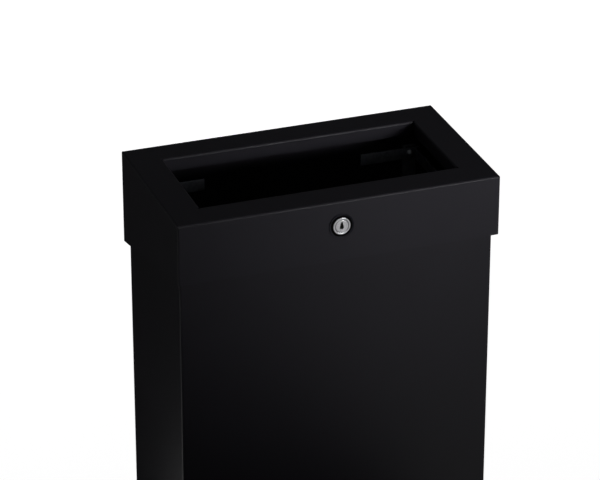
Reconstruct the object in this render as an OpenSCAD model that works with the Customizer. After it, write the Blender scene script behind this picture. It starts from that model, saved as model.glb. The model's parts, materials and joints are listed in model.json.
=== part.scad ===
// Floor-standing steel waste bin: a folded sheet body under a pivoted open cover with a cam lock.
// Millimetres. Origin on the floor under the middle of the bin, X right, Y to the back, Z up.

/* [Cover] */
// Width of the cover, outside
cover_w = 340; // [310:5:400]
// Depth of the cover from front to back, outside
cover_d = 186; // [176:2:240]
// Width of the flat frame round the opening
frame_w = 34; // [30:0.5:40]
// Height of the flanges that turn down into the opening
flange_h = 14.5; // [10:0.5:20]
// Radius of the lower corners of those flanges
flange_corner_r = 9; // [4:1:10]
// Depth of the skirt at the front
skirt_front_h = 65; // [62:1:80]
// Depth of the side cheeks at the back, where they reach down past the hinge
cheek_back_h = 102; // [95:1:130]
// Gap between each cheek and the side wall of the body
side_gap = 3; // [2.8:0.1:4]
// Gap between the skirt and the body at the front and at the back
end_gap = 8; // [7:0.5:9]

/* [Sheet metal] */
// Thickness of the folded sheet
sheet = 1; // [0.8:0.1:1.2]
// Outside radius of every bend
bend_r = 2; // [1.5:0.1:3]

/* [Body] */
// Height of the whole bin, from the floor to the top of the cover
bin_h = 470; // [350:10:650]
// Height of the lower edge of the walls above the floor
floor_gap = 4; // [2:1:8]
// Height of the base panel's flanges
base_flange_h = 9; // [7:1:16]
// Width of the strips folded in at the back edges of the side walls
back_return_w = 15; // [10:1:25]
// Height of the hem inside the front rim
hem_h = 8; // [5:0.5:9]
// Depth of the lip along the top of the back panel
back_lip = 8; // [4:1:12]

/* [Hinge] */
// Depth of the hinge axis below the top of the cover
hinge_drop = 74; // [70:1:80]
// Distance of the hinge axis from the back of the body
hinge_inset = 14; // [12:1:20]
// Diameter of the shoulder that the cover turns on
pivot_d = 6; // [5:0.5:8]
// Wall of the nylon bush round the pivot
bush_wall = 1.5; // [1:0.1:2]
// Diameter of the bush's outer flange
bush_flange_d = 16; // [14:1:20]
// Thickness of the bush's outer flange
bush_flange_t = 0.9; // [0.6:0.1:1]
// Size across its flats of the nut welded inside each cheek
hinge_nut_af = 10; // [9:0.5:12]
// Height of the doubler plate behind each bush
doubler_h = 30; // [24:1:34]
// Thickness of the doubler plate
doubler_t = 1.5; // [1:0.1:2]

/* [Bag frame] */
// Depth of the bag frame's top edge below the top of the cover
bag_drop = 39; // [36:1:44]
// Height of the flat bar
bar_h = 12.5; // [8:0.5:14]
// Thickness of the flat bar
bar_t = 2; // [1.5:0.1:3]
// Width of the gap left open along the back
bag_gap_w = 172; // [120:2:200]
// Radius of the frame's corners, outside
bag_corner_r = 9; // [5:1:14]
// Distance of the frame's front bar behind the skirt's outer face
bag_front_inset = 26.5; // [26.5:0.5:28]
// Width of each strap that carries the frame
strap_w = 15; // [10:1:18]
// Length of each strap
strap_h = 48; // [30:1:60]
// Thickness of each strap
strap_t = 1.5; // [1:0.1:2]
// How far each strap stands above the frame
strap_over = 3; // [1:0.5:6]
// Distance of the back straps from the side walls, to their centres
strap_back_inset = 24; // [20:1:50]
// Distance of the side straps in front of the middle
strap_side_y = 30; // [0:1:40]

/* [Lock] */
// Depth of the lock's axis below the top of the cover
lock_drop = 27; // [26.5:0.5:28]
// Diameter of the bright face of the lock
lock_face_d = 18.5; // [17:0.5:20]
// Diameter of the black collar round it
collar_d = 25.5; // [24:0.5:28]
// How far the collar stands out of the skirt
collar_h = 3.4; // [2.5:0.1:4]
// Diameter of the barrel that passes through the skirt
barrel_d = 17.5; // [16.5:0.5:18]
// Size of the barrel across its two flats
barrel_af = 15.5; // [15:0.5:16.5]
// Length of the barrel behind the skirt's outer face
barrel_l = 20; // [19:0.5:20]
// Diameter of the plug's face
plug_d = 14; // [13:0.5:14.5]
// Width of the cam's arm
cam_w = 12; // [9:0.5:14]
// Thickness of the cam
cam_t = 1.6; // [1.2:0.1:2]
// Length of the cam's bent end
cam_hook = 7; // [6:0.1:7.5]
// Width of the tongue that the cam hooks under
keeper_w = 12; // [8:0.5:14]
// Thickness of the keeper
keeper_t = 1.5; // [1:0.1:2]
// Depth of the underside of that tongue below the top of the cover
keeper_drop = 54.6; // [54.6:0.1:57]

/* [Feet] */
// Diameter of each rubber foot on the floor
foot_d = 19; // [14:1:24]
// Distance of the feet from the side walls, to their centres
foot_inset = 26; // [20:1:40]
// Diameter of the rivets through the feet
rivet_d = 4; // [3:0.5:5]

/* [Hidden] */
$fn = 64;

// Clearances: a fixed seat, a turning fit, a soft or swinging part beside its neighbour
seat = 0.05;
running = 0.05;
clear = 0.3;
swing_clear = 0.8;
// Overshoot of a cutting tool past the face it cuts
over = 1;

body_w = cover_w - 2 * (sheet + side_gap);
body_d = cover_d - 2 * (sheet + end_gap);
opening_w = cover_w - 2 * frame_w;
opening_d = cover_d - 2 * frame_w;
wall_x = body_w / 2 - sheet;
front_in_y = -body_d / 2 + sheet;
panel_out_y = body_d / 2 - sheet;
panel_in_y = panel_out_y - sheet;
cheek_in_x = cover_w / 2 - sheet;

// The cover swings about this axis, and the side rims stay inside its front face's circle
hinge_y = body_d / 2 - hinge_inset;
hinge_z = bin_h - hinge_drop;
swing_r = hinge_y + cover_d / 2 - sheet;
// The back skirt ends above the axis, so that it can fold behind the body
back_skirt_rise = 12;
skirt_back_h = hinge_drop - back_skirt_rise;
// The back panel's lip stays inside the circle of the opening's back flange
flange_swing_r = norm([hinge_y - opening_d / 2, hinge_drop - flange_h]);
back_rim_z = hinge_z + sqrt(pow(flange_swing_r - 2 * swing_clear, 2) - pow(body_d / 2 - hinge_y, 2));

// Rubber strip on each side rim, on which the closed cover lies
strip_crown = 1.8;
strip_wall = 1;
strip_leg = 6;
strip_bevel = 0.7;
side_rim_z = bin_h - sheet - clear - strip_crown;

base_top_z = floor_gap + base_flange_h;
base_w = 2 * wall_x;
base_d = panel_in_y - front_in_y;
base_y = (panel_in_y + front_in_y) / 2;
foot_h = base_top_z - sheet;
foot_flare = 3;
foot_chamfer = 0.8;
foot_recess_d = 3 * rivet_d;
foot_recess_h = 5;
foot_places = [for (x = [-1, 1], y = [-1, 1])
    [x * (wall_x - foot_inset), base_y + y * (base_d / 2 - foot_inset)]];

bag_top_z = bin_h - bag_drop;
bag_side_x = wall_x - strap_t;
bag_back_y = panel_in_y - strap_t;
bag_front_y = -cover_d / 2 + bag_front_inset;
strap_z = bag_top_z + strap_over - strap_h;
strap_rivet_z = bag_top_z - bar_h / 2;
strap_corner_r = 2;
strap_back_x = wall_x - strap_back_inset;
// Where each strap stands, and the turn that lays its Z axis along the wall's inward normal
strap_places = [
    [[-strap_back_x, panel_in_y], [90, 0, 0]],
    [[strap_back_x, panel_in_y], [90, 0, 0]],
    [[-wall_x, -strap_side_y], [90, 0, 90]],
    [[wall_x, -strap_side_y], [90, 0, -90]]
];

lock_y = -cover_d / 2;
lock_z = bin_h - lock_drop;
lock_flange_d = 22;
lock_flange_t = 1;
face_step = 0.1;
lock_face_h = lock_flange_t + face_step;
nut_af = 22;
nut_t = 4;
// The front rim passes under the lock's nut
rim_under_nut = 4.5;
front_rim_z = lock_z - nut_af / 2 - rim_under_nut;
lock_washer_d = 23;
lock_washer_t = 0.8;
plug_head_l = 3.3;
plug_shoulder = 0.6;
plug_body_d = plug_d - 2 * plug_shoulder;
lock_bevel = 0.4;
collar_lip = 0.3;
collar_rim_r = 0.8;
tang = 7;
tang_l = cam_t - 2 * seat;
plug_end = barrel_l + clear;
keyway_l = 17;
key_big_r = 1.8;
key_small_r = 0.7;
key_pitch = 4.4;
wafer_n = 5;
wafer_t = 1;
wafer_w = 6;
wafer_pitch = 2.4;
wafer_first = 5;
wafer_h = 2 * sqrt(pow(plug_body_d / 2, 2) - pow(wafer_w / 2, 2)) - 2 * seat;
hub_r = 9;
cam_washer_d = 12;
cam_washer_t = 0.8;
cam_screw_d = 4;
cam_screw_l = 3.4;
cam_screw_head_d = 8;
cam_screw_head_h = 2.4;
cam_screw_bevel = 0.8;
driver_slot_w = 0.8;
driver_slot_l = 4;
driver_slot_h = 1.2;
// The bent end passes the corners of the keeper's tongue on its way under it
cam_reach = norm([keeper_w / 2, keeper_drop - lock_drop]) + clear;
// The keeper's tongue stops short of the cam, whose bent end reaches back under it
keeper_short = 2.3;
keeper_reach = lock_y + plug_end - keeper_short - front_in_y;
keeper_plate_w = 30;
keeper_plate_h = 12;
keeper_plate_r = 3;
keeper_neck = 0.5;
keeper_top_z = bin_h - keeper_drop + keeper_t;
keeper_rivet_d = 3;
keeper_rivet_x = 10;
keeper_rivet_z = keeper_top_z - bend_r - keeper_neck - keeper_plate_h / 2;

bush_d = pivot_d + 2 * running + 2 * bush_wall;
bush_end = 0.3;
pivot_in_x = wall_x - doubler_t - bush_end - clear;
hinge_nut_h = side_gap - bush_flange_t - clear;
doubler_d = 2 * hinge_inset - 4 * sheet;
doubler_r = 3;
screw_head_h = 3;
screw_head_d = 11;
screw_bevel = 1;
screw_socket_d = 4.6;
screw_socket_h = 2;
hinge_washer_d = 13;
hinge_washer_t = 1;
hinge_thread_d = 5;

// Outlines and folded forms

module rounded_rect(w, d, r) {
    square([w - 2 * r, d], center = true);
    square([w, d - 2 * r], center = true);
    for (x = [-1, 1], y = [-1, 1])
        translate([x * (w / 2 - r), y * (d / 2 - r)]) circle(r);
}

// An upright outline that stands on the axis and has its two top corners rounded
module arch_outline(w, h, r) {
    translate([-w / 2, 0]) square([w, h - r]);
    translate([-w / 2 + r, 0]) square([w - 2 * r, h]);
    for (x = [-1, 1]) translate([x * (w / 2 - r), h - r]) circle(r);
}

// Stands a drawing of the side view up, Y across and Z up, and gives it a width along X
module across_x(w) {
    rotate([90, 0, 90]) linear_extrude(w, center = true) children();
}

module folded_block(w, d, h, r) {
    intersection() {
        linear_extrude(h) rounded_rect(w, d, r);
        across_x(w + over) arch_outline(d, h, r);
        rotate([90, 0, 0]) linear_extrude(d + over, center = true) arch_outline(w, h, r);
    }
}

// A sheet folded down on four sides, with its flat face on top and mitred corners
module folded_tray(w, d, h) {
    difference() {
        folded_block(w, d, h, bend_r);
        translate([0, 0, -over])
            folded_block(w - 2 * sheet, d - 2 * sheet, h - sheet + over, bend_r - sheet);
    }
}

// A filled corner at the origin, rounded to r, that runs left for one leg and down for the other
module corner_outline(leg, drop, r) {
    translate([-leg, -drop]) square([leg - r, drop]);
    translate([-leg, -drop]) square([leg, drop - r]);
    translate([-r, -r]) circle(r);
}

// The section of a strip of thickness t that is bent there
module bent_strip(leg, drop, r, t) {
    difference() {
        corner_outline(leg, drop, r);
        translate([-t, -t]) corner_outline(leg + over, drop + over, r - t);
    }
}

// Puts a shape on the lock's axis: its Z points out of the skirt and its Y stays up
module on_lock_axis() {
    translate([0, lock_y, lock_z]) rotate([90, 0, 0]) children();
}

// Puts a shape on the hinge axis at the right side and its mirror image at the left
module on_hinge_axis() {
    for (side = [0, 1]) mirror([side, 0, 0])
        translate([0, hinge_y, hinge_z]) rotate([0, 90, 0]) children();
}

module ring(r_out, r_in, h) {
    difference() {
        cylinder(r = r_out, h = h);
        translate([0, 0, -over]) cylinder(r = r_in, h = h + 2 * over);
    }
}

// A rivet along Z: a domed head on top, its shank down through the grip, and a flat head below
// where the far side is open
module rivet(d, grip, far_head = true) {
    head_r = 0.95 * d;
    dome_h = 0.45 * d;
    flat_h = 0.3 * d;
    ball_r = (head_r * head_r + dome_h * dome_h) / (2 * dome_h);
    intersection() {
        translate([0, 0, dome_h - ball_r]) sphere(ball_r);
        cylinder(r = head_r, h = dome_h);
    }
    translate([0, 0, -grip]) cylinder(d = d, h = grip + dome_h / 2);
    if (far_head) translate([0, 0, -grip - flat_h]) cylinder(r = head_r, h = flat_h);
}

// Body

// The side view that the walls are cut to: the side rims follow the swing of the cover, and a
// notch at each front corner brings the front rim under it
module wall_outline() {
    intersection() {
        polygon([
            [-body_d / 2 - over, floor_gap], [body_d / 2 + over, floor_gap],
            [body_d / 2 + over, back_rim_z - over], [body_d / 2, back_rim_z],
            [hinge_y, side_rim_z], [front_in_y + bend_r, side_rim_z],
            [front_in_y + bend_r, front_rim_z], [-body_d / 2 - over, front_rim_z]
        ]);
        union() {
            translate([-body_d / 2 - over, 0]) square([body_d + 2 * over, hinge_z]);
            translate([hinge_y, hinge_z]) circle(swing_r - swing_clear, $fn = 180);
        }
    }
}

module body_wrap() {
    color("#1b1b1f") difference() {
        intersection() {
            union() {
                linear_extrude(bin_h) difference() {
                    rounded_rect(body_w, body_d, bend_r);
                    rounded_rect(body_w - 2 * sheet, body_d - 2 * sheet, bend_r - sheet);
                    translate([-body_w / 2 + back_return_w, 0])
                        square([body_w - 2 * back_return_w, body_d]);
                }
                translate([-wall_x + bend_r, front_in_y - sheet / 2, front_rim_z - hem_h])
                    cube([2 * (wall_x - bend_r), 3 / 2 * sheet, hem_h + over]);
            }
            across_x(body_w + over) wall_outline();
        }
        on_hinge_axis() cylinder(d = bush_d + 2 * seat, h = body_w);
        for (x = [-1, 1]) translate([x * keeper_rivet_x, 0, keeper_rivet_z])
            rotate([90, 0, 0]) cylinder(d = keeper_rivet_d + 2 * seat, h = body_d);
    }
}

module back_panel() {
    panel_w = 2 * (wall_x - bend_r);
    color("#1b1b1f") across_x(panel_w) translate([panel_out_y, back_rim_z])
        bent_strip(back_lip, back_rim_z - floor_gap, bend_r, sheet);
}

module base_pan() {
    color("#1b1b1f") difference() {
        translate([0, base_y, floor_gap]) folded_tray(base_w, base_d, base_flange_h);
        for (p = foot_places) translate([p.x, p.y, 0])
            cylinder(d = rivet_d + 2 * seat, h = base_top_z + over);
    }
}

module rubber_feet() {
    color("#161616") for (p = foot_places) translate([p.x, p.y, 0])
        rotate_extrude() polygon([
            [foot_recess_d / 2, 0], [foot_d / 2 - foot_chamfer, 0], [foot_d / 2, foot_chamfer],
            [(foot_d + foot_flare) / 2, foot_h], [rivet_d / 2 + seat, foot_h],
            [rivet_d / 2 + seat, foot_recess_h], [foot_recess_d / 2, foot_recess_h]
        ]);
}

module foot_rivets() {
    color("#b9bbbe") for (p = foot_places) translate([p.x, p.y, base_top_z])
        rivet(rivet_d, base_top_z - foot_recess_h);
}

module rim_strips() {
    strip_w = sheet + 2 * strip_wall;
    strip_top = side_rim_z + strip_crown;
    front_y = hinge_y - sqrt(pow(swing_r - 2 * swing_clear, 2) - pow(strip_top - hinge_z, 2));
    back_y = hinge_y - 2 * bend_r;
    color("#121213") for (x = [-1, 1]) translate([x * (wall_x + sheet / 2), (front_y + back_y) / 2, 0])
        rotate([90, 0, 0]) linear_extrude(back_y - front_y, center = true) difference() {
            translate([-strip_w / 2, strip_top - strip_crown - strip_leg])
                square([strip_w, strip_leg + strip_crown]);
            translate([-sheet / 2, strip_top - strip_crown - strip_leg - over])
                square([sheet, strip_leg + over]);
            for (s = [-1, 1]) translate([s * strip_w / 2, strip_top]) rotate(45)
                square(strip_bevel * sqrt(2), center = true);
        }
}

// Hinge

module hinge_doublers() {
    color("#1b1b1f") on_hinge_axis() translate([0, 0, wall_x - doubler_t]) difference() {
        linear_extrude(doubler_t) rounded_rect(doubler_h, doubler_d, doubler_r);
        translate([0, 0, -over]) cylinder(d = bush_d + 2 * seat, h = doubler_t + 2 * over);
    }
}

module hinge_bushes() {
    barrel_in = wall_x - doubler_t - bush_end;
    wall_out = body_w / 2;
    color("#e4e1d8") on_hinge_axis() difference() {
        union() {
            translate([0, 0, barrel_in]) cylinder(d = bush_d, h = wall_out - barrel_in);
            translate([0, 0, wall_out]) cylinder(d = bush_flange_d, h = bush_flange_t);
        }
        cylinder(d = pivot_d + 2 * running, h = body_w);
    }
}

module hinge_nuts() {
    color("#8e9094") on_hinge_axis() translate([0, 0, cheek_in_x - hinge_nut_h]) difference() {
        rotate(30) cylinder(d = hinge_nut_af / cos(30), h = hinge_nut_h, $fn = 6);
        translate([0, 0, -over]) cylinder(d = hinge_thread_d + 2 * seat, h = hinge_nut_h + 2 * over);
    }
}

module hinge_screws() {
    head_in = pivot_in_x - hinge_washer_t - screw_head_h;
    color("#a9abb0") on_hinge_axis() difference() {
        union() {
            translate([0, 0, head_in])
                cylinder(d1 = screw_head_d - 2 * screw_bevel, d2 = screw_head_d, h = screw_bevel);
            translate([0, 0, head_in + screw_bevel])
                cylinder(d = screw_head_d, h = screw_head_h - screw_bevel);
            translate([0, 0, head_in + screw_head_h])
                cylinder(d = pivot_d, h = cheek_in_x - hinge_nut_h - head_in - screw_head_h);
            translate([0, 0, cheek_in_x - hinge_nut_h - over])
                cylinder(d = hinge_thread_d, h = hinge_nut_h - clear + over);
        }
        translate([0, 0, head_in - over]) cylinder(d = screw_socket_d, h = screw_socket_h + over, $fn = 6);
    }
}

module hinge_washers() {
    color("#b9bbbe") on_hinge_axis() translate([0, 0, pivot_in_x - hinge_washer_t])
        ring(hinge_washer_d / 2, pivot_d / 2 + seat, hinge_washer_t);
}

// Keeper for the lock's cam

module lock_keeper() {
    color("#8e9094") difference() {
        union() {
            across_x(keeper_w) translate([front_in_y, keeper_top_z]) mirror([1, 0])
                bent_strip(keeper_reach, keeper_top_z - keeper_rivet_z, bend_r, keeper_t);
            translate([0, front_in_y + keeper_t, keeper_rivet_z]) rotate([90, 0, 0])
                linear_extrude(keeper_t) rounded_rect(keeper_plate_w, keeper_plate_h, keeper_plate_r);
        }
        for (x = [-1, 1]) translate([x * keeper_rivet_x, 0, keeper_rivet_z])
            rotate([90, 0, 0]) cylinder(d = keeper_rivet_d + 2 * seat, h = body_d);
    }
}

module keeper_rivets() {
    color("#1b1b1f") for (x = [-1, 1])
        translate([x * keeper_rivet_x, front_in_y + keeper_t, keeper_rivet_z])
            rotate([-90, 0, 0]) rivet(keeper_rivet_d, keeper_t + sheet);
}

// Bag frame

module bag_frame() {
    w = 2 * bag_side_x;
    d = bag_back_y - bag_front_y;
    color("#a4a6aa") difference() {
        translate([0, (bag_back_y + bag_front_y) / 2, bag_top_z - bar_h]) linear_extrude(bar_h)
            difference() {
                rounded_rect(w, d, bag_corner_r);
                rounded_rect(w - 2 * bar_t, d - 2 * bar_t, bag_corner_r - bar_t);
                translate([-bag_gap_w / 2, 0]) square([bag_gap_w, d]);
            }
        for (s = strap_places) translate([s[0].x, s[0].y, strap_rivet_z]) rotate(s[1])
            cylinder(d = rivet_d + 2 * seat, h = strap_t + bar_t + over);
    }
}

module bag_frame_straps() {
    color("#a4a6aa") for (s = strap_places) difference() {
        translate([s[0].x, s[0].y, strap_z + strap_h / 2]) rotate(s[1])
            linear_extrude(strap_t) rounded_rect(strap_w, strap_h, strap_corner_r);
        translate([s[0].x, s[0].y, strap_rivet_z]) rotate(s[1]) translate([0, 0, -over])
            cylinder(d = rivet_d + 2 * seat, h = strap_t + 2 * over);
    }
}

module bag_frame_rivets() {
    color("#b9bbbe") for (s = strap_places) translate([s[0].x, s[0].y, strap_rivet_z])
        rotate(s[1]) translate([0, 0, strap_t + bar_t]) rivet(rivet_d, strap_t + bar_t, false);
}

// Cover

// One flange of the opening: a bar of the folded section, with rounded lower corners
module flange(length) {
    intersection() {
        across_x(length) bent_strip(bend_r + sheet, flange_h, bend_r, sheet);
        rotate([-90, 0, 0]) linear_extrude(6 * bend_r, center = true)
            arch_outline(length, flange_h, flange_corner_r);
    }
}

module cover_shell() {
    hole_w = opening_w + 2 * bend_r;
    hole_d = opening_d + 2 * bend_r;
    color("#1b1b1f") translate([0, 0, bin_h]) difference() {
        union() {
            difference() {
                translate([0, 0, -cheek_back_h]) folded_tray(cover_w, cover_d, cheek_back_h);
                translate([-hole_w / 2, -hole_d / 2, -2 * sheet]) cube([hole_w, hole_d, 3 * sheet]);
            }
            for (turn = [0, 180]) {
                rotate(turn) translate([0, -opening_d / 2, 0]) flange(opening_w - 2 * clear);
                rotate(turn + 90) translate([0, -opening_w / 2, 0]) flange(opening_d - 2 * clear);
            }
        }
        across_x(cover_w + over) polygon([
            [-cover_d / 2 - over, -skirt_front_h], [-cover_d / 2, -skirt_front_h],
            [cover_d / 2, -cheek_back_h], [cover_d / 2 + over, -cheek_back_h],
            [cover_d / 2 + over, -cheek_back_h - over], [-cover_d / 2 - over, -cheek_back_h - over]
        ]);
        translate([-cover_w / 2 + bend_r, 0, -cheek_back_h - over])
            cube([cover_w - 2 * bend_r, cover_d, cheek_back_h + over - skirt_back_h]);
        translate([0, lock_y, -lock_drop]) rotate([90, 0, 0]) barrel(seat, -2 * sheet, over);
    }
}

// Lock

// The lock's barrel with its two flats, from depth z0 to z1 on the lock's axis
module barrel(gap, z0, z1) {
    translate([0, 0, z0]) linear_extrude(z1 - z0) intersection() {
        circle(barrel_d / 2 + gap);
        square([barrel_af + 2 * gap, 2 * barrel_d], center = true);
    }
}

module lock_collar() {
    r = collar_d / 2;
    inner = lock_face_d / 2 + seat;
    rim = [for (a = [120 : -20 : 0])
        [r - collar_rim_r, collar_h - collar_rim_r] + collar_rim_r * [cos(a), sin(a)]];
    color("#17171a") on_lock_axis() rotate_extrude() polygon(concat(
        [[inner, lock_flange_t + face_step / 2], [inner, lock_face_h + collar_lip]],
        rim,
        [[r, 0], [lock_flange_d / 2 + seat, 0], [lock_flange_d / 2 + seat, lock_flange_t + face_step / 2]]
    ));
}

module lock_housing() {
    color("#c9cacc") on_lock_axis() difference() {
        union() {
            cylinder(d = lock_flange_d, h = lock_flange_t);
            cylinder(d = lock_face_d, h = lock_face_h);
            barrel(0, -barrel_l, 0);
        }
        translate([0, 0, -barrel_l - over])
            cylinder(d = plug_body_d + 2 * running, h = barrel_l + lock_face_h + 2 * over);
        translate([0, 0, lock_face_h - plug_head_l - running])
            cylinder(d = plug_d + 2 * running, h = plug_head_l + over);
        translate([0, 0, lock_face_h - lock_bevel]) cylinder(
            d1 = plug_d + 2 * running, d2 = plug_d + 2 * running + 4 * lock_bevel, h = 2 * lock_bevel);
    }
}

module lock_washer() {
    color("#a9abb0") on_lock_axis() translate([0, 0, -sheet - lock_washer_t])
        difference() {
            cylinder(d = lock_washer_d, h = lock_washer_t);
            barrel(seat, -over, lock_washer_t + over);
        }
}

module lock_nut() {
    color("#a9abb0") on_lock_axis() translate([0, 0, -sheet - lock_washer_t - nut_t]) difference() {
        cylinder(d = nut_af / cos(30), h = nut_t, $fn = 6);
        translate([0, 0, -over]) cylinder(d = barrel_d + 2 * seat, h = nut_t + 2 * over);
    }
}

// The keyhole's outline: a round foot with sides that draw in towards the top
module keyhole() {
    translate([0, -key_pitch / 2]) circle(key_big_r);
    translate([0, key_pitch / 2]) circle(key_small_r);
    polygon([
        [-key_big_r, -key_pitch / 2], [key_big_r, -key_pitch / 2],
        [key_small_r, key_pitch / 2], [-key_small_r, key_pitch / 2]
    ]);
}

// Places its children at each wafer, on the middle of the wafer's thickness
module at_wafers() {
    for (i = [0 : wafer_n - 1]) translate([0, 0, -wafer_first - i * wafer_pitch]) children();
}

module lock_plug() {
    color("#c2c3c6") on_lock_axis() difference() {
        union() {
            translate([0, 0, lock_face_h - plug_head_l])
                cylinder(d = plug_d, h = plug_head_l - lock_bevel);
            translate([0, 0, lock_face_h - lock_bevel])
                cylinder(d1 = plug_d, d2 = plug_d - 2 * lock_bevel, h = lock_bevel);
            translate([0, 0, -plug_end]) cylinder(d = plug_body_d, h = plug_end);
            translate([0, 0, -plug_end - tang_l]) linear_extrude(tang_l + over) square(tang, center = true);
        }
        translate([0, 0, lock_face_h - keyway_l]) linear_extrude(keyway_l + over) keyhole();
        at_wafers() translate([0, 0, -wafer_t / 2 - seat]) linear_extrude(wafer_t + 2 * seat)
            square([wafer_w + 2 * seat, plug_d], center = true);
        translate([0, 0, -plug_end - tang_l - over])
            cylinder(d = cam_screw_d + 2 * seat, h = cam_screw_l + over);
    }
}

module lock_wafers() {
    color("#b98f3c") on_lock_axis() at_wafers() translate([0, 0, -wafer_t / 2])
        linear_extrude(wafer_t) difference() {
            square([wafer_w, wafer_h], center = true);
            square([2 * (key_big_r + clear), key_pitch + 2 * key_big_r], center = true);
        }
}

module lock_cam() {
    cam_z = -plug_end - cam_t;
    color("#8e9094") on_lock_axis() translate([0, 0, cam_z]) difference() {
        union() {
            linear_extrude(cam_t) {
                circle(hub_r);
                translate([0, -cam_w / 2]) square([cam_reach + cam_t, cam_w]);
            }
            translate([cam_reach, -cam_w / 2, 0]) cube([cam_t, cam_w, cam_hook + cam_t]);
        }
        translate([0, 0, -over]) linear_extrude(cam_t + 2 * over) square(tang + 2 * seat, center = true);
    }
}

module cam_washer() {
    color("#b9bbbe") on_lock_axis() translate([0, 0, -plug_end - cam_t - cam_washer_t])
        ring(cam_washer_d / 2, cam_screw_d / 2 + seat, cam_washer_t);
}

module cam_screw() {
    head_z = -plug_end - cam_t - cam_washer_t;
    color("#a9abb0") on_lock_axis() difference() {
        union() {
            translate([0, 0, head_z - cam_screw_head_h]) cylinder(
                d1 = cam_screw_head_d - 2 * cam_screw_bevel, d2 = cam_screw_head_d, h = cam_screw_bevel);
            translate([0, 0, head_z - cam_screw_head_h + cam_screw_bevel])
                cylinder(d = cam_screw_head_d, h = cam_screw_head_h - cam_screw_bevel);
            translate([0, 0, head_z - over / 2]) cylinder(d = cam_screw_d, h = cam_screw_l + over / 2);
        }
        for (turn = [0, 90]) rotate(turn)
            translate([0, 0, head_z - cam_screw_head_h + driver_slot_h - over])
                cube([driver_slot_l, driver_slot_w, 2 * over], center = true);
    }
}

body_wrap();
back_panel();
base_pan();
rubber_feet();
foot_rivets();
rim_strips();
hinge_doublers();
hinge_bushes();
lock_keeper();
keeper_rivets();
bag_frame();
bag_frame_straps();
bag_frame_rivets();
cover_shell();
hinge_nuts();
hinge_screws();
hinge_washers();
lock_collar();
lock_housing();
lock_washer();
lock_nut();
lock_plug();
lock_wafers();
lock_cam();
cam_washer();
cam_screw();
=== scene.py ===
# Looks for a floor-standing steel waste bin: black coated sheet, a cover that swings open on
# two side pivots, and a cam lock that holds it shut.
import json
import math

import bpy
from mathutils import Matrix, Vector


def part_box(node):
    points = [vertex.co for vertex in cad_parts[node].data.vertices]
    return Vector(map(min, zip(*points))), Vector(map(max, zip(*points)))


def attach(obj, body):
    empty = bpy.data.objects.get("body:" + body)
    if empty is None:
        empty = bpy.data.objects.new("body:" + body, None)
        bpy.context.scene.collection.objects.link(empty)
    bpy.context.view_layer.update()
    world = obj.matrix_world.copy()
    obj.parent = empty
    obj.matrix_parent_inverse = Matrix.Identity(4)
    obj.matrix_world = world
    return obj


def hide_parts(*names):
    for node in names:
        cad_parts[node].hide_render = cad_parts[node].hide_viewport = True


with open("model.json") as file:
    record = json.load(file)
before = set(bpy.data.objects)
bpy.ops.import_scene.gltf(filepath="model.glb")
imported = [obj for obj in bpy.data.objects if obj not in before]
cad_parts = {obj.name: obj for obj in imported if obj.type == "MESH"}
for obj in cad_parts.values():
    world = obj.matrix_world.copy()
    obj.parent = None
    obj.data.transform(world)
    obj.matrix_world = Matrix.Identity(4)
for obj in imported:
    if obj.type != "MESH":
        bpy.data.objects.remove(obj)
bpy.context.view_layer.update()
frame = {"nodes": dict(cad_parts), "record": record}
nodes = frame["nodes"]
mm = 0.001
lockCentre = (0, -93, 443)  # millimetres, on the outer face of the cover's skirt

camera = {
    "place": (-0.98864, -2.70646, 1.82892),  # metres
    "right": (0.94045, -0.33994, 0.00022),  # where the picture's right and top point
    "up": (0.15224, 0.42176, 0.89383),
    "lens": 189.31,  # mm on a 36 mm sensor, for a frame of 600 by 480
    "sensor": 36.0,
    "clip": (0.05, 60.0),  # metres
}


def makeCamera():
    data = bpy.data.cameras.new("photoCamera")
    data.lens = camera["lens"]
    data.sensor_width = camera["sensor"]
    data.clip_start, data.clip_end = camera["clip"]
    cam = bpy.data.objects.new("photoCamera", data)
    bpy.context.scene.collection.objects.link(cam)
    right = Vector(camera["right"]).normalized()
    up = Vector(camera["up"]).normalized()
    turn = Matrix((right, up, right.cross(up))).transposed().to_4x4()
    cam.matrix_world = Matrix.Translation(Vector(camera["place"])) @ turn
    bpy.context.scene.camera = cam


makeCamera()
print("camera: done")


# sRGB hex to the linear colour that the shaders take
def linear(hexColor):
    out = []
    for i in (1, 3, 5):
        c = int(hexColor[i:i + 2], 16) / 255
        out.append(c / 12.92 if c <= 0.04045 else ((c + 0.055) / 1.055) ** 2.4)
    return (*out, 1.0)


# adds one node: "in:Name" sets a socket, any other key an attribute, and links come in by name
def addNode(tree, kind, settings=None, **links):
    node = tree.nodes.new(kind)
    for key, value in (settings or {}).items():
        if key.startswith("in:"):
            name = key[3:]
            node.inputs[int(name) if name.isdigit() else name].default_value = value
        else:
            setattr(node, key, value)
    for name, source in links.items():
        name = name.replace("_", " ")
        tree.links.new(source, node.inputs[int(name[1:]) if name[1:].isdigit() else name])
    return node


def newMaterial(name):
    material = bpy.data.materials.new(name)
    material.use_nodes = True
    material.node_tree.nodes.clear()
    return material, material.node_tree


def finishMaterial(material, shader):
    addNode(material.node_tree, "ShaderNodeOutputMaterial", Surface=shader.outputs[0])
    return material


# a noise texture gives few values outside these
noiseSpan = {"in:From Min": 0.3, "in:From Max": 0.7}

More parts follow.
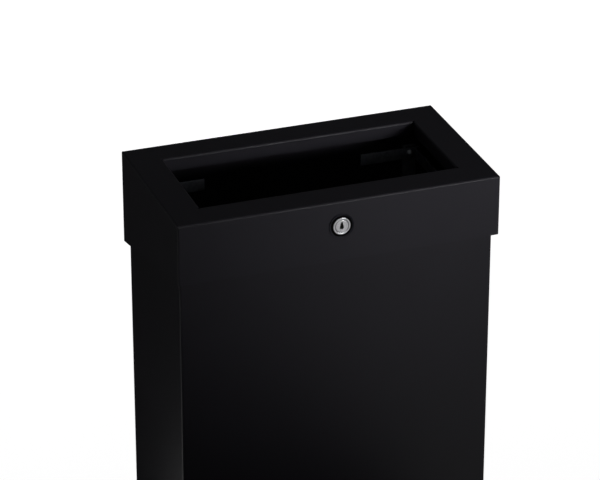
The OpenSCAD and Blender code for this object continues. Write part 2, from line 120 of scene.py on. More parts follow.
# Polyester powder sprayed on steel and baked. It flows out to a satin black skin with a faint
# orange peel, and the eye sees soft broad highlights with a fine sparkle in them.
powderCoat = {
    "coverTones": ("#1c1b20", "#201f24"),
    "bodyTones": ("#1a191d", "#1d1c21"),  # coated apart from the cover, and a shade darker
    "cloud": 60 * mm,  # slow drift of the tone over a panel
    "peel": 2.2 * mm,  # orange peel, a real one is 1 to 3 mm from crest to crest
    "grain": 0.5 * mm,  # powder grain, drawn coarser than its 0.05 mm so that it shows
    "peelDepth": 0.02 * mm,
    "grainDepth": 0.012 * mm,
    "roughness": (0.36, 0.42),
    "specular": 0.1,
}


def blackPowderCoat(name, tones):
    m, tree = newMaterial(name)
    where = addNode(tree, "ShaderNodeTexCoord").outputs["Object"]
    cloud = addNode(tree, "ShaderNodeTexNoise", {
        "in:Scale": 1 / powderCoat["cloud"], "in:Detail": 3.0}, Vector=where)
    tone = addNode(tree, "ShaderNodeMix", {
        "data_type": "RGBA", "in:6": linear(tones[0]), "in:7": linear(tones[1])},
        Factor=cloud.outputs["Fac"])
    peel = addNode(tree, "ShaderNodeTexNoise", {
        "in:Scale": 1 / powderCoat["peel"], "in:Detail": 1.0}, Vector=where)
    grain = addNode(tree, "ShaderNodeTexNoise", {
        "in:Scale": 1 / powderCoat["grain"], "in:Detail": 2.0}, Vector=where)
    gloss = addNode(tree, "ShaderNodeMapRange", {
        **noiseSpan,
        "in:To Min": powderCoat["roughness"][0], "in:To Max": powderCoat["roughness"][1]},
        Value=grain.outputs["Fac"])
    peelBump = addNode(tree, "ShaderNodeBump", {
        "in:Strength": 1.0, "in:Distance": powderCoat["peelDepth"]}, Height=peel.outputs["Fac"])
    grainBump = addNode(tree, "ShaderNodeBump", {
        "in:Strength": 1.0, "in:Distance": powderCoat["grainDepth"]},
        Height=grain.outputs["Fac"], Normal=peelBump.outputs["Normal"])
    return finishMaterial(m, addNode(tree, "ShaderNodeBsdfPrincipled", {
        "in:Specular IOR Level": powderCoat["specular"]},
        Base_Color=tone.outputs["Result"], Roughness=gloss.outputs["Result"],
        Normal=grainBump.outputs["Normal"]))


# Steel sheet, nuts and screws electroplated with zinc. The plating is a cool grey with small
# cloudy crystals;
# the darker copy on the parts inside the bin is partly a duller zinc and partly painted shade.
zincs = {
    "brightZinc": {"dark": "#8f9297", "light": "#b7babf", "crystal": 1.6 * mm,
                   "roughness": (0.3, 0.5), "depth": 0.01 * mm},
    # darker copy for the bag frame, its straps and the keeper: a duller zinc, with the shade
    # inside the bin partly painted into its tones
    "shadedDullZinc": {"dark": "#52545a", "light": "#64676d", "crystal": 4.0 * mm,
                 "roughness": (0.42, 0.62), "depth": 0.012 * mm},
}
zincMix = {
    "crystals": 0.35,  # their share in the tone, beside the cloud's
    "cloud": 0.3,  # the cloud's scale against the crystals'
    "span": (0.4, 0.9),  # of the sum of the two, from light to dark
}


def zincPlate(name):
    zinc = zincs[name]
    m, tree = newMaterial(name)
    where = addNode(tree, "ShaderNodeTexCoord").outputs["Object"]
    crystal = addNode(tree, "ShaderNodeTexVoronoi", {
        "in:Scale": 1 / zinc["crystal"], "feature": "F1"}, Vector=where)
    cloud = addNode(tree, "ShaderNodeTexNoise", {
        "in:Scale": zincMix["cloud"] / zinc["crystal"], "in:Detail": 4.0}, Vector=where)
    blend = addNode(tree, "ShaderNodeMath", {
        "operation": "MULTIPLY_ADD", "in:1": zincMix["crystals"]},
        _0=crystal.outputs["Distance"], _2=cloud.outputs["Fac"])
    tone = addNode(tree, "ShaderNodeMapRange", {
        "in:From Min": zincMix["span"][0], "in:From Max": zincMix["span"][1]},
        Value=blend.outputs[0])
    color = addNode(tree, "ShaderNodeMix", {
        "data_type": "RGBA", "in:6": linear(zinc["light"]), "in:7": linear(zinc["dark"])},
        Factor=tone.outputs["Result"])
    gloss = addNode(tree, "ShaderNodeMapRange", {
        "in:To Min": zinc["roughness"][0], "in:To Max": zinc["roughness"][1]},
        Value=tone.outputs["Result"])
    bump = addNode(tree, "ShaderNodeBump", {"in:Strength": 1.0, "in:Distance": zinc["depth"]},
                   Height=crystal.outputs["Distance"])
    return finishMaterial(m, addNode(tree, "ShaderNodeBsdfPrincipled", {"in:Metallic": 1.0},
                                     Base_Color=color.outputs["Result"],
                                     Roughness=gloss.outputs["Result"],
                                     Normal=bump.outputs["Normal"]))


# Brass and zinc die castings turned on a lathe and nickel plated. Fine rings run round the
# lock's axis, and the plating gives a white shine with soft blurred reflections.
nickel = {
    "dark": "#969699",
    "light": "#afafb2",
    "ring": 0.45 * mm,  # marks of the lathe, drawn coarser than their 0.1 mm so that they show
    "ringDepth": 0.004 * mm,
    "ringWaver": 0.6,
    "stain": 5 * mm,
    "roughness": (0.26, 0.36),
}


def turnedNickel():
    m, tree = newMaterial("turnedNickel")
    where = addNode(tree, "ShaderNodeTexCoord").outputs["Object"]
    centred = addNode(tree, "ShaderNodeMapping", {
        "vector_type": "POINT", "in:Location": tuple(-c * mm for c in lockCentre)}, Vector=where)
    # at scale 1 a ring wave repeats every pi / 10 metres
    rings = addNode(tree, "ShaderNodeTexWave", {
        "wave_type": "RINGS", "rings_direction": "Y", "in:Scale": math.pi / 10 / nickel["ring"],
        "in:Distortion": nickel["ringWaver"], "in:Detail": 2.0}, Vector=centred.outputs["Vector"])
    stain = addNode(tree, "ShaderNodeTexNoise", {
        "in:Scale": 1 / nickel["stain"], "in:Detail": 3.0}, Vector=where)
    color = addNode(tree, "ShaderNodeMix", {
        "data_type": "RGBA", "in:6": linear(nickel["light"]), "in:7": linear(nickel["dark"])},
        Factor=stain.outputs["Fac"])
    gloss = addNode(tree, "ShaderNodeMapRange", {
        "in:To Min": nickel["roughness"][0], "in:To Max": nickel["roughness"][1]},
        Value=rings.outputs["Fac"])
    bump = addNode(tree, "ShaderNodeBump", {
        "in:Strength": 1.0, "in:Distance": nickel["ringDepth"]}, Height=rings.outputs["Fac"])
    return finishMaterial(m, addNode(tree, "ShaderNodeBsdfPrincipled", {"in:Metallic": 1.0},
                                     Base_Color=color.outputs["Result"],
                                     Roughness=gloss.outputs["Result"],
                                     Normal=bump.outputs["Normal"]))


# The smaller finishes share one build: two tones that a noise mixes, a roughness that wanders
# with them, and a bump of the surface's own grain.
smallFinishes = {
    # stamped cartridge brass, dulled a little by the key
    "stampedBrass": {"dark": "#a8843f", "light": "#cfae62", "grain": 0.8 * mm,
                     "roughness": (0.28, 0.45), "depth": 0.006 * mm, "metallic": 1.0},
    # aluminium rivets, headed cold, with the soft grey skin of bare alloy
    "rivetAluminium": {"dark": "#6c6f74", "light": "#93969a", "grain": 0.7 * mm,
                       "roughness": (0.5, 0.66), "depth": 0.008 * mm, "metallic": 1.0},
    # natural nylon, injection moulded, a milky cream
    "mouldedNylon": {"dark": "#d6d2c4", "light": "#e6e2d6", "grain": 0.9 * mm,
                     "roughness": (0.42, 0.55), "depth": 0.01 * mm, "specular": 0.5},
    # black rubber, moulded, dry and slightly chalky
    "mouldedRubber": {"dark": "#101010", "light": "#1a1a1a", "grain": 0.5 * mm,
                      "roughness": (0.7, 0.9), "depth": 0.03 * mm, "specular": 0.2},
}
smallCloud = 0.15  # scale of the two tones' noise against the grain's


def smallFinish(name):
    look = smallFinishes[name]
    m, tree = newMaterial(name)
    where = addNode(tree, "ShaderNodeTexCoord").outputs["Object"]
    cloud = addNode(tree, "ShaderNodeTexNoise", {
        "in:Scale": smallCloud / look["grain"], "in:Detail": 4.0}, Vector=where)
    grain = addNode(tree, "ShaderNodeTexNoise", {
        "in:Scale": 1 / look["grain"], "in:Detail": 2.0}, Vector=where)
    color = addNode(tree, "ShaderNodeMix", {
        "data_type": "RGBA", "in:6": linear(look["dark"]), "in:7": linear(look["light"])},
        Factor=cloud.outputs["Fac"])
    gloss = addNode(tree, "ShaderNodeMapRange", {
        **noiseSpan, "in:To Min": look["roughness"][0], "in:To Max": look["roughness"][1]},
        Value=cloud.outputs["Fac"])
    bump = addNode(tree, "ShaderNodeBump", {"in:Strength": 1.0, "in:Distance": look["depth"]},
                   Height=grain.outputs["Fac"])
    if "metallic" in look:
        settings = {"in:Metallic": look["metallic"]}
    else:
        settings = {"in:Specular IOR Level": look["specular"]}
    return finishMaterial(m, addNode(tree, "ShaderNodeBsdfPrincipled", settings,
                                     Base_Color=color.outputs["Result"],
                                     Roughness=gloss.outputs["Result"],
                                     Normal=bump.outputs["Normal"]))


# Black moulded ABS. The dish of the collar has a soft gloss from a polished mould, and its
# recess beside the disc is coloured near black with almost no specular, as painted shade of the
# gap round the disc.
blackAbs = {
    "dish": "#222227",
    # painted shade: this near black stands for the shadow in the gap round the disc
    "recess": "#010101",
    "edge": (11.35 * mm, 11.6 * mm),  # from the recess to the dish, out from the lock's centre
    "flow": 9 * mm,  # flow marks of the mould
    "roughness": (0.38, 0.46),
    "specular": 0.015,
}


def mouldedAbs():
    m, tree = newMaterial("blackAbs")
    where = addNode(tree, "ShaderNodeTexCoord").outputs["Object"]
    out = addNode(tree, "ShaderNodeVectorMath", {
        "operation": "DISTANCE", "in:1": tuple(c * mm for c in lockCentre)}, _0=where)
    # mixes from the painted shade of the recess out to the dish's own colour
    dish = addNode(tree, "ShaderNodeMapRange", {
        "in:From Min": blackAbs["edge"][0], "in:From Max": blackAbs["edge"][1]},
        Value=out.outputs["Value"])
    color = addNode(tree, "ShaderNodeMix", {
        "data_type": "RGBA",
        "in:6": linear(blackAbs["recess"]), "in:7": linear(blackAbs["dish"])},
        Factor=dish.outputs["Result"])
    flow = addNode(tree, "ShaderNodeTexNoise", {
        "in:Scale": 1 / blackAbs["flow"], "in:Detail": 3.0}, Vector=where)
    gloss = addNode(tree, "ShaderNodeMapRange", {
        **noiseSpan,
        "in:To Min": blackAbs["roughness"][0], "in:To Max": blackAbs["roughness"][1]},
        Value=flow.outputs["Fac"])
    return finishMaterial(m, addNode(tree, "ShaderNodeBsdfPrincipled", {
        "in:Specular IOR Level": blackAbs["specular"]},
        Base_Color=color.outputs["Result"], Roughness=gloss.outputs["Result"]))


finishes = {
    "powder_coat": blackPowderCoat("blackPowderCoat", powderCoat["bodyTones"]),
    "zinc_plate": zincPlate("brightZinc"),
    "lock_nickel": turnedNickel(),
    "collar_black": mouldedAbs(),
    "wafer_brass": smallFinish("stampedBrass"),
    "rivet_alloy": smallFinish("rivetAluminium"),
    "nylon": smallFinish("mouldedNylon"),
    "rubber": smallFinish("mouldedRubber"),
}
# the zinc of the parts inside the bin, darker partly by painted shade
shadedDullZinc = zincPlate("shadedDullZinc")
# nodes whose finish is another than the one of their slot
ownFinish = {
    "bag_frame": shadedDullZinc,
    "bag_frame_straps": shadedDullZinc,
    "lock_keeper": shadedDullZinc,
    "cover_shell": blackPowderCoat("coverPowderCoat", powderCoat["coverTones"]),
}
for entry in frame["record"]["subparts"]:
    slots = nodes[entry["node"]].data.materials
    slots.clear()
    slots.append(ownFinish.get(entry["node"], finishes[entry["material_slot"]]))
print("materials: done")


# selects one object alone and makes it active
def pick(piece):
    bpy.ops.object.select_all(action="DESELECT")
    piece.select_set(True)
    bpy.context.view_layer.objects.active = piece


def smoothPiece(piece):
    pick(piece)
    bpy.ops.object.shade_smooth_by_angle(angle=math.radians(30))
    return piece


# starts a piece as one chain of points, in millimetres, and stays in edit mode with all selected
def drawChain(name, points):
    bpy.ops.object.select_all(action="DESELECT")
    start = Vector(points[0]) * mm
    bpy.ops.mesh.primitive_plane_add(size=mm, location=start)
    piece = bpy.context.object
    piece.name = name
    bpy.ops.object.transform_apply(location=True, rotation=False, scale=False)
    bpy.ops.object.mode_set(mode="EDIT")
    bpy.ops.mesh.select_all(action="SELECT")
    bpy.ops.mesh.merge(type="CENTER")
    for point in points[1:]:
        end = Vector(point) * mm
        bpy.ops.mesh.extrude_region_move(TRANSFORM_OT_translate={"value": end - start})
        start = end
    bpy.ops.mesh.select_all(action="SELECT")
    return piece


# merges what meets, turns the faces outwards and leaves edit mode
def closePiece(piece):
    bpy.ops.mesh.select_all(action="SELECT")
    bpy.ops.mesh.remove_doubles(threshold=0.002 * mm)
    bpy.ops.mesh.normals_make_consistent(inside=False)
    bpy.ops.object.mode_set(mode="OBJECT")
    return smoothPiece(piece)


# spins a profile of (radius, height) pairs once round an axis
def turnPiece(name, profile, centre, axis, steps=96):
    axis = Vector(axis)
    side = axis.orthogonal().normalized()
    piece = drawChain(name, [Vector(centre) + side * r + axis * h for r, h in profile])
    bpy.ops.mesh.spin(steps=steps, angle=2 * math.pi, center=Vector(centre) * mm, axis=axis)
    return closePiece(piece)


# fills a closed outline of points and pulls it out along a direction
def pullPiece(name, outline, along):
    piece = drawChain(name, outline)
    bpy.ops.mesh.edge_face_add()
    bpy.ops.mesh.extrude_region_move(TRANSFORM_OT_translate={"value": Vector(along) * mm})
    return closePiece(piece)


# a block in millimetres that is cut out of a piece or joined on to it
def boxTool(place, size):
    bpy.ops.object.select_all(action="DESELECT")
    bpy.ops.mesh.primitive_cube_add(
        size=1, location=[c * mm for c in place], scale=[side * mm for side in size])
    return bpy.context.object


# cuts one piece out of another, or joins it on
def combine(piece, tool, how="DIFFERENCE"):
    cut = piece.modifiers.new("combine", "BOOLEAN")
    cut.operation = how
    cut.solver = "EXACT"
    cut.object = tool
    bpy.context.view_layer.objects.active = piece
    bpy.ops.object.modifier_apply(modifier=cut.name)
    bpy.data.objects.remove(tool, do_unlink=True)


def softenEdges(piece, width, segments=2, angle=40):
    bevel = piece.modifiers.new("soften", "BEVEL")
    bevel.width = width * mm
    bevel.segments = segments
    bevel.limit_method = "ANGLE"
    bevel.angle_limit = math.radians(angle)
    bpy.context.view_layer.objects.active = piece
    bpy.ops.object.modifier_apply(modifier=bevel.name)


def joinPieces(pieces):
    bpy.ops.object.select_all(action="DESELECT")
    for piece in pieces:
        piece.select_set(True)
    bpy.context.view_layer.objects.active = pieces[0]
    bpy.ops.object.join()
    return bpy.context.object


# a copy with its own mesh, moved by some millimetres or mirrored from the right to the left
def copyPiece(piece, move=None, flipX=False):
    other = piece.copy()
    other.data = piece.data.copy()
    bpy.context.scene.collection.objects.link(other)
    pick(other)
    if move:
        bpy.ops.transform.translate(value=Vector(move) * mm)
        bpy.ops.object.transform_apply(location=True, rotation=False, scale=False)
    if flipX:
        bpy.ops.object.mode_set(mode="EDIT")
        bpy.ops.mesh.select_all(action="SELECT")
        bpy.ops.transform.resize(value=(-1, 1, 1), center_override=(0, 0, 0))
        bpy.ops.mesh.normals_make_consistent(inside=False)
        bpy.ops.object.mode_set(mode="OBJECT")
    return other


# points on an arc, from one angle to another in degrees
def arc(cx, cz, r, first, last, steps):
    turns = [math.radians(first + (last - first) * i / steps) for i in range(steps + 1)]
    return [(cx + r * math.cos(a), cz + r * math.sin(a)) for a in turns]


def roundedRect(w, h, r, steps):
    out = []
    for sx, sz, first in ((1, 1, 0), (-1, 1, 90), (-1, -1, 180), (1, -1, 270)):
        out += arc(sx * (w / 2 - r), sz * (h / 2 - r), r, first, first + 90, steps)
    return out


# gives a finished piece its body, finish and the CAD node that it stands for
def placePiece(piece, body, slot, node, material=None):
    piece.data.materials.clear()
    piece.data.materials.append(material or finishes[slot])
    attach(piece, body)
    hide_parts(node)


# millimetres: R is a radius, H a height out from the skirt and L a length along the axis
lock = {
    "out": (0, -1, 0),
    "clear": 0.05,  # between two parts side by side
    "seat": 0.02,  # between two parts that lie on each other
    # collar, a shallow dish with a dead black recess round the disc
    "collarR": 13.3,
    "collarH": 1.05,
    "collarEdge": 0.2,
    "crestTurn": 112,  # degrees that the crest's rounding takes
    "recessR": 11.5,
    "recessH": 0.45,
    "recessStep": (0.1, 0.03),  # width and height of the step from the recess to the dish
    "dishFrom": 0.05,  # height over the recess that the dish's curve starts from
    "dishAt": (0.05, 0.25, 0.5, 0.75),  # its points, in parts of the way to the crest
    "dishPower": 1.2,  # above 1 the dish is hollow
    # housing
    "faceR": 8.95,
    "faceH": 1.1,
    "faceEdge": ((0.3, 0), (0.1, 0.04), (0, 0.1)),  # in from the rim and down from the face
    "boreEdge": ((0, 0.35), (0.1, 0.12), (0.35, 0)),  # out from the bore and down from the face
    "flangeR": 10.4,
    "flangeH": 0.4,
    "barrelR": 8.75,
    "barrelL": 20,
    "barrelAcross": 15.5,  # between the two flats
    "endEdge": 0.4,
    "flatTool": (6, 31, 30),  # cutter for a flat: width, length and height
    "threadFrom": 1.9,
    "threadPitch": 1.0,
    "threadDepth": 0.35,
    # plug
    "plugR": 7,
    "plugGap": 0.22,  # dark ring between the plug and the housing
    "plugEdge": 0.45,
    "plugFace": ((5.2, 0), (5.05, 0.1), (4.9, 0.1), (0, 0.02)),  # radius and depth of its step
    "plugEnd": 20.3,
    "headL": 3.3,  # from the face to the thinner body
    "headGap": 0.1,  # behind the head
    "bodyR": 6.4,
    "tang": 7,
    "tangL": 1.5,
    "keyLift": 1.0,  # the keyhole stands above the plug's centre
    "keyBigR": 2.1,
    "keySmallR": 1.0,
    "keyPitch": 4.5,
    "keyDepth": 16,  # from the face
    "keyMouth": ((0.15, 1.03), (0.15, 1.07), (0.3, 1.12)),  # steps out and growth of each
    "wafers": 5,
    "waferFrom": 5,
    "waferPitch": 2.4,
    "waferSlot": (6.1, 1.1, 14),
    "screwR": 2.05,
    "screwL": 3.4,
    "over": 1,  # how far a tool runs past the face that it cuts or joins
}


def lockCollar():
    r, edge, inner = lock["collarR"], lock["collarEdge"], lock["faceR"] + lock["clear"]
    low, hollow = lock["recessH"], lock["recessR"]
    stepW, stepH = lock["recessStep"]
    # the collar lies over the housing's flange
    pocketR, pocketH = lock["flangeR"] + lock["clear"], lock["flangeH"] + lock["seat"]
    crest = arc(r - edge, lock["collarH"] - edge, edge, lock["crestTurn"], 0, 6)
    crestR, crestH = crest[0]
    start = low + lock["dishFrom"]
    profile = [(inner, low), (hollow - stepW, low), (hollow, low + stepH)]
    for part in lock["dishAt"]:
        rise = (crestH - start) * part ** lock["dishPower"]
        profile.append((hollow + (crestR - hollow) * part, start + rise))
    profile += crest
    profile += [(r, edge), (r - edge, 0.0), (pocketR, 0.0), (pocketR, pocketH), (inner, pocketH),
                (inner, low)]
    return turnPiece("lockCollar", profile, lockCentre, lock["out"])


def lockHousing():
    face, faceH, bore = lock["faceR"], lock["faceH"], lock["plugR"] + lock["plugGap"]
    inner, barrel, end = lock["bodyR"] + lock["clear"], lock["barrelR"], -lock["barrelL"]
    seatH = faceH - lock["headL"] - lock["headGap"]
    profile = [(inner, end), (inner, seatH), (bore, seatH)]
    profile += [(bore + out, faceH - down) for out, down in lock["boreEdge"]]
    profile += [(face - back, faceH - down) for back, down in lock["faceEdge"]]
    profile += [(face, lock["flangeH"]), (lock["flangeR"], lock["flangeH"])]
    profile += [(lock["flangeR"], 0.0), (barrel, 0.0)]
    # screw thread behind the skirt, as rings
    pitch, z = lock["threadPitch"], -lock["threadFrom"]
    while z - pitch > end + lock["endEdge"]:
        profile += [(barrel, z), (barrel - lock["threadDepth"], z - pitch / 2)]
        z -= pitch
    profile += [(barrel, z), (barrel - lock["endEdge"], end), (inner, end)]
    piece = turnPiece("lockHousing", profile, lockCentre, lock["out"])
    # two flats along the barrel
    x0, y0, z0 = lockCentre
    wide, long, high = lock["flatTool"]
    for side in (-1, 1):
        x = x0 + side * (lock["barrelAcross"] + wide) / 2
        combine(piece, boxTool((x, y0 + long / 2, z0), (wide, long, high)))
    return smoothPiece(piece)


# the keyhole's outline: a small round above a bigger round, at a depth into the plug
def keyOutline(depth):
    big, small, pitch, lift = (lock[k] for k in ("keyBigR", "keySmallR", "keyPitch", "keyLift"))
    lean = math.degrees(math.asin((big - small) / pitch))
    outline = arc(0, lift + pitch / 2, small, lean, 180 - lean, 8)
    outline += arc(0, lift - pitch / 2, big, 180 - lean, 360 + lean, 18)
    x0, y0, z0 = lockCentre
    return [(x0 + x, y0 + depth, z0 + z) for x, z in outline]


def lockPlug():
    r, faceH, body, edge = lock["plugR"], lock["faceH"], lock["bodyR"], lock["plugEdge"]
    end, headEnd = -lock["plugEnd"], faceH - lock["headL"]
    profile = [(0, end), (body - lock["endEdge"], end), (body, end + lock["endEdge"]),
               (body, headEnd), (r, headEnd)]
    profile += arc(r - edge, faceH - edge, edge, 0, 90, 4)
    profile += [(out, faceH - down) for out, down in lock["plugFace"]]
    piece = turnPiece("lockPlug", profile, lockCentre, lock["out"])
    x0, y0, z0 = lockCentre
    # square tang that drives the cam
    tang, tip = lock["tang"], y0 - end + lock["tangL"]
    long = lock["tangL"] + lock["over"]
    combine(piece, boxTool((x0, tip - long / 2, z0), (tang, long, tang)), "UNION")
    # keyhole with a worn, rounded mouth
    cutter = drawChain("keyCutter", keyOutline(lock["keyDepth"] - faceH))
    bpy.ops.mesh.edge_face_add()
    straight = lock["keyDepth"] - sum(out for out, grow in lock["keyMouth"][:-1])
    for out, grow in ((straight, 1.0), *lock["keyMouth"]):
        bpy.ops.mesh.extrude_region_move(TRANSFORM_OT_translate={"value": (0, -out * mm, 0)})
        bpy.ops.transform.resize(value=(grow, 1, grow))
    combine(piece, closePiece(cutter))
    # slots of the wafers, cut at once, because one after another can leave a gap in the mesh
    places = [(x0, y0 + lock["waferFrom"] + lock["waferPitch"] * i, z0)
              for i in range(lock["wafers"])]
    combine(piece, joinPieces([boxTool(place, lock["waferSlot"]) for place in places]))
    # hole of the cam's screw
    bpy.ops.object.select_all(action="DESELECT")
    long = lock["screwL"] + lock["over"]
    bpy.ops.mesh.primitive_cylinder_add(
        vertices=32, radius=lock["screwR"] * mm, depth=long * mm,
        location=(x0 * mm, (tip - lock["screwL"] + long / 2) * mm, z0 * mm),
        rotation=(math.radians(90), 0, 0))
    combine(piece, bpy.context.object)
    return smoothPiece(piece)


placePiece(lockCollar(), "cover", "collar_black", "lock_collar")
placePiece(lockHousing(), "cover", "lock_nickel", "lock_housing")
placePiece(lockPlug(), "lock_core", "lock_nickel", "lock_plug")
print("lock: done")

# a moulded foot with three grooves round it and a hollow underneath for the rivet's head
foot = {
    "height": 12,
    "bottomR": 9.5,
    "topR": 11,
    "topEdge": (0.05, 0.4),  # in from the top's radius, where the chamfer starts and ends
    "bottomEdge": 0.9,
    "recessR": 6,
    "recessH": 5,
    "recessEdge": 0.3,
    "holeR": 2.05,
    "places": [(-139, -57), (139, -57), (-139, 56), (139, 56)],
    "grooves": (3.6, 6.2, 8.8),
    "grooveDepth": 0.45,
    "grooveHalf": (0.55, 0.3),  # half its width at the mouth and at the bottom
}


def rubberFeet():
    top, high, hole = foot["topR"], foot["height"], foot["holeR"]
    inner, roof, chamfer = foot["recessR"], foot["recessH"], foot["recessEdge"]
    edge, deep, (mouth, bottom) = foot["bottomEdge"], foot["grooveDepth"], foot["grooveHalf"]
    slope = (top - foot["bottomR"]) / high
    profile = [(inner, chamfer), (inner + chamfer, 0.0)]
    profile += arc(foot["bottomR"] - edge, edge, edge, -90, 0, 3)
    for g in foot["grooves"]:
        for z, d in ((g - mouth, 0.0), (g - bottom, deep), (g + bottom, deep), (g + mouth, 0.0)):
            profile.append((foot["bottomR"] + slope * z - d, z))
    inset, cut = foot["topEdge"]
    profile += [(top - inset, high - cut), (top - cut, high), (hole, high), (hole, roof),
                (inner - chamfer, roof), (inner, roof - chamfer), (inner, chamfer)]
    x0, y0 = foot["places"][0]
    first = turnPiece("rubberFeet", profile, (x0, y0, 0), (0, 0, 1), steps=64)
    others = [copyPiece(first, move=(x - x0, y - y0, 0)) for x, y in foot["places"][1:]]
    return joinPieces([first] + others)


placePiece(rubberFeet(), "bin_body", "rubber", "rubber_feet")
print("feet: done")

# a U of rubber pushed over each side rim
rimStrip = {
    "x": 165.5,  # middle of the side wall
    "half": 1.5,  # half the strip's width
    "slot": 0.5,  # half the wall's thickness
    "edge": 0.35,
    "low": 460.9,  # heights of its lower edges, of the wall's rim and of its crown
    "rim": 466.9,
    "top": 468.7,
}


def rimStrips():
    lo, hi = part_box("rim_strips")
    y0, y1 = lo[1] / mm, hi[1] / mm
    half, slot, edge = rimStrip["half"], rimStrip["slot"], rimStrip["edge"]
    low, rim = rimStrip["low"], rimStrip["rim"]
    outline = [(-slot, low), (-slot, rim), (slot, rim), (slot, low)]
    outline += [(half - edge, low), (half, low + edge)]
    outline += arc(0, rimStrip["top"] - half, half, 0, 180, 12)
    outline += [(-half, low + edge), (-half + edge, low)]
    points = [(rimStrip["x"] + x, y0, z) for x, z in outline]
    right = pullPiece("rimStrips", points, (0, y1 - y0, 0))
    return joinPieces([right, copyPiece(right, flipX=True)])


placePiece(rimStrips(), "bin_body", "rubber", "rim_strips")
print("rim strips: done")

# flat bar bent to a C that is open at the back
bagFrame = {
    "x": 162.5,  # centre lines of the bars
    "back": 79.5,
    "front": -65.5,
    "z": 424.75,
    "turnR": 8,
    "turnSteps": 10,
    "gap": 86,  # from the middle to each end
    "bar": (2.0, 12.5),
    "edge": 0.5,
}


def bagFrameBar():
    gap, back, r = bagFrame["gap"], bagFrame["back"], bagFrame["turnR"]
    section = roundedRect(*bagFrame["bar"], bagFrame["edge"], 3)
    piece = drawChain("bagFrame", [(-gap, back + y, bagFrame["z"] + z) for y, z in section])
    bpy.ops.mesh.edge_face_add()
    xc, yBack, yFront = bagFrame["x"] - r, back - r, bagFrame["front"] + r
    # each run is drawn straight on, and then turned by a right angle round a centre
    runs = [((gap - xc, 0), (-xc, yBack)),
            ((0, yFront - yBack), (-xc, yFront)),
            ((2 * xc, 0), (xc, yFront)),
            ((0, yBack - yFront), (xc, yBack)),
            ((gap - xc, 0), None)]
    for (dx, dy), centre in runs:
        bpy.ops.mesh.extrude_region_move(TRANSFORM_OT_translate={"value": (dx * mm, dy * mm, 0)})
        if centre:
            bpy.ops.mesh.spin(steps=bagFrame["turnSteps"], angle=math.radians(90), axis=(0, 0, 1),
                              center=(centre[0] * mm, centre[1] * mm, 0))
    return closePiece(piece)


placePiece(bagFrameBar(), "bin_body", "zinc_plate", "bag_frame", shadedDullZinc)
print("bag frame: done")

# four short straps between the bag frame and the walls
strap = {
    "size": (15, 48),
    "thick": 1.5,
    "cornerR": 2,
    "soft": 0.3,  # width of the bevel along its edges
    "back": (141, 82),  # middle in X, and the wall's inner face in Y
    "side": (165, -30),  # the wall's inner face in X, and middle in Y
    "z": 410,
}


def bagFrameStraps():
    shape = roundedRect(*strap["size"], strap["cornerR"], 6)
    thick, z0 = strap["thick"], strap["z"]
    x0, y0 = strap["back"]
    back = pullPiece("bagFrameStraps", [(x0 + x, y0, z0 + z) for x, z in shape], (0, -thick, 0))
    x0, y0 = strap["side"]
    side = pullPiece("sideStrap", [(x0, y0 + y, z0 + z) for y, z in shape], (-thick, 0, 0))
    for piece in (back, side):
        softenEdges(piece, strap["soft"])
    return joinPieces([back, side, copyPiece(back, flipX=True), copyPiece(side, flipX=True)])


placePiece(bagFrameStraps(), "bin_body", "zinc_plate", "bag_frame_straps", shadedDullZinc)
print("straps: done")

studio = {
    "floorSize": 30.0,  # metres
    "paper": 0.8,
    "white": 0.9,  # the floor's own light, so that it meets the white around it
    "ambient": 0.05,
}

# power in watts, width and height, place, aim, spread of the beam in degrees
lamps = {
    "keyLamp": (0.675, (0.26, 0.23), (0.59, -1.38, 0.685), (0.136, -0.09, 0.552), 34),
    "fillLamp": (0.2, (0.15, 0.15), (1.41, -1.39, 0.64), (0.58, -0.09, 0.68), 48),
    "sideLamp": (1.7, (0.9, 0.9), (-1.6, 0.9, 0.45), (-0.17, 0.0, 0.35), 120),
    # these two stay below the cover's top and light the sides that the photograph doesn't show
    "backLamp": (5.0, (1.2, 0.3), (0.5, 2.1, 0.3), (0.0, 0.1, 0.28), 120),
    "rightLamp": (3.0, (1.2, 0.3), (2.1, 0.5, 0.3), (0.17, 0.0, 0.28), 120),
}

# cards that only reflections see, as a photographer sets them round dark glossy goods:
# place, turn in degrees, size, light (0 is black card)
cards = {
    "backCard": ((0, 3.2, 2.0), (90, 0, 0), (9, 6), 0.046),
    "leftCard": ((-2.6, 0.5, 2.0), (0, 90, 0), (6, 8), 0.0),
    "floorCard": ((-2.43, -0.75, 0.002), (0, 0, 0), (5.15, 8.5), 0.014),
    "frontFloorCard": ((-2.2, -2.85, 0.003), (0, 0, 0), (3.6, 3.3), 0.7),
    "rightCard": ((2.6, 2.2, 2.0), (0, 90, 0), (6, 4.5), 0.0),
    "rightFloorCard": ((1.37, 1.575, 0.0015), (0, 0, 0), (2.46, 3.25), 0.014),
    "farCard": ((2.6, -2.6, 1.5), (90, 0, 45), (5.0, 3.0), 0.08),
    "frontCard": ((-2.3, -3.6, 1.5), (90, 0, 35), (3.4, 3.0), 0.0),
    "edgeCard": ((0.95, -1.0, 1.85), (-28, 28, 0), (0.9, 0.5), 3.0),
    "cornerCard": ((-0.72, 0.05, 0.004), (0, 0, 0), (0.8, 0.3), 2.0),
}


# 1 for what the camera sees, straight or in a reflection or through glass, and 0 for light
def seenRays(tree):
    path = addNode(tree, "ShaderNodeLightPath")
    seen = addNode(tree, "ShaderNodeMath", {"operation": "MAXIMUM"},
                   _0=path.outputs["Is Camera Ray"], _1=path.outputs["Is Glossy Ray"])
    return addNode(tree, "ShaderNodeMath", {"operation": "MAXIMUM"},
                   _0=seen.outputs[0], _1=path.outputs["Is Transmission Ray"]).outputs[0]


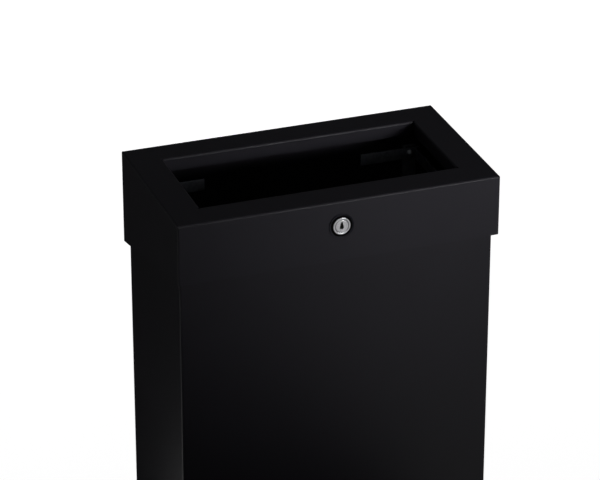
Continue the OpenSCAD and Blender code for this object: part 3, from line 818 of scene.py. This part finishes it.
def makeStage():
    bpy.ops.object.select_all(action="DESELECT")
    bpy.ops.mesh.primitive_plane_add(size=studio["floorSize"], location=(0, 0, 0))
    floor = bpy.context.object
    floor.name = "studioFloor"
    m, tree = newMaterial("studioPaper")
    strength = addNode(tree, "ShaderNodeMath", {"operation": "MULTIPLY", "in:1": studio["white"]},
                       _0=seenRays(tree))
    paper = addNode(tree, "ShaderNodeBsdfDiffuse", {"in:Color": (*[studio["paper"]] * 3, 1)})
    glow = addNode(tree, "ShaderNodeEmission", Strength=strength.outputs[0])
    both = addNode(tree, "ShaderNodeAddShader", _0=paper.outputs[0], _1=glow.outputs[0])
    floor.data.materials.append(finishMaterial(m, both))


def makeCards():
    for name, (place, turn, (wide, deep), light) in cards.items():
        bpy.ops.object.select_all(action="DESELECT")
        bpy.ops.mesh.primitive_plane_add(
            size=1, location=place, rotation=[math.radians(a) for a in turn])
        card = bpy.context.object
        card.name = name
        card.scale = (wide, deep, 1)
        bpy.ops.object.transform_apply(location=True, rotation=True, scale=True)
        for ray in ("camera", "diffuse", "transmission", "shadow"):
            setattr(card, "visible_" + ray, False)
        m, tree = newMaterial(name)
        glow = addNode(tree, "ShaderNodeEmission", {"in:Strength": light})
        card.data.materials.append(finishMaterial(m, glow))


def makeLights():
    world = bpy.data.worlds.new("studioAir")
    bpy.context.scene.world = world
    world.use_nodes = True
    tree = world.node_tree
    tree.nodes.clear()
    level = addNode(tree, "ShaderNodeMapRange", {
        "in:To Min": studio["ambient"], "in:To Max": 1.0}, Value=seenRays(tree))
    back = addNode(tree, "ShaderNodeBackground", Strength=level.outputs["Result"])
    addNode(tree, "ShaderNodeOutputWorld", Surface=back.outputs[0])
    for name, (power, size, place, aim, spread) in lamps.items():
        data = bpy.data.lights.new(name, "AREA")
        data.energy = power
        data.shape = "RECTANGLE"
        data.size, data.size_y = size
        data.spread = math.radians(spread)
        lamp = bpy.data.objects.new(name, data)
        bpy.context.scene.collection.objects.link(lamp)
        lamp.rotation_mode = "QUATERNION"
        lamp.rotation_quaternion = (Vector(aim) - Vector(place)).to_track_quat("-Z", "Y")
        lamp.location = place


makeStage()
makeCards()
makeLights()
bpy.context.scene.view_settings.view_transform = "Standard"
print("stage and light: done")
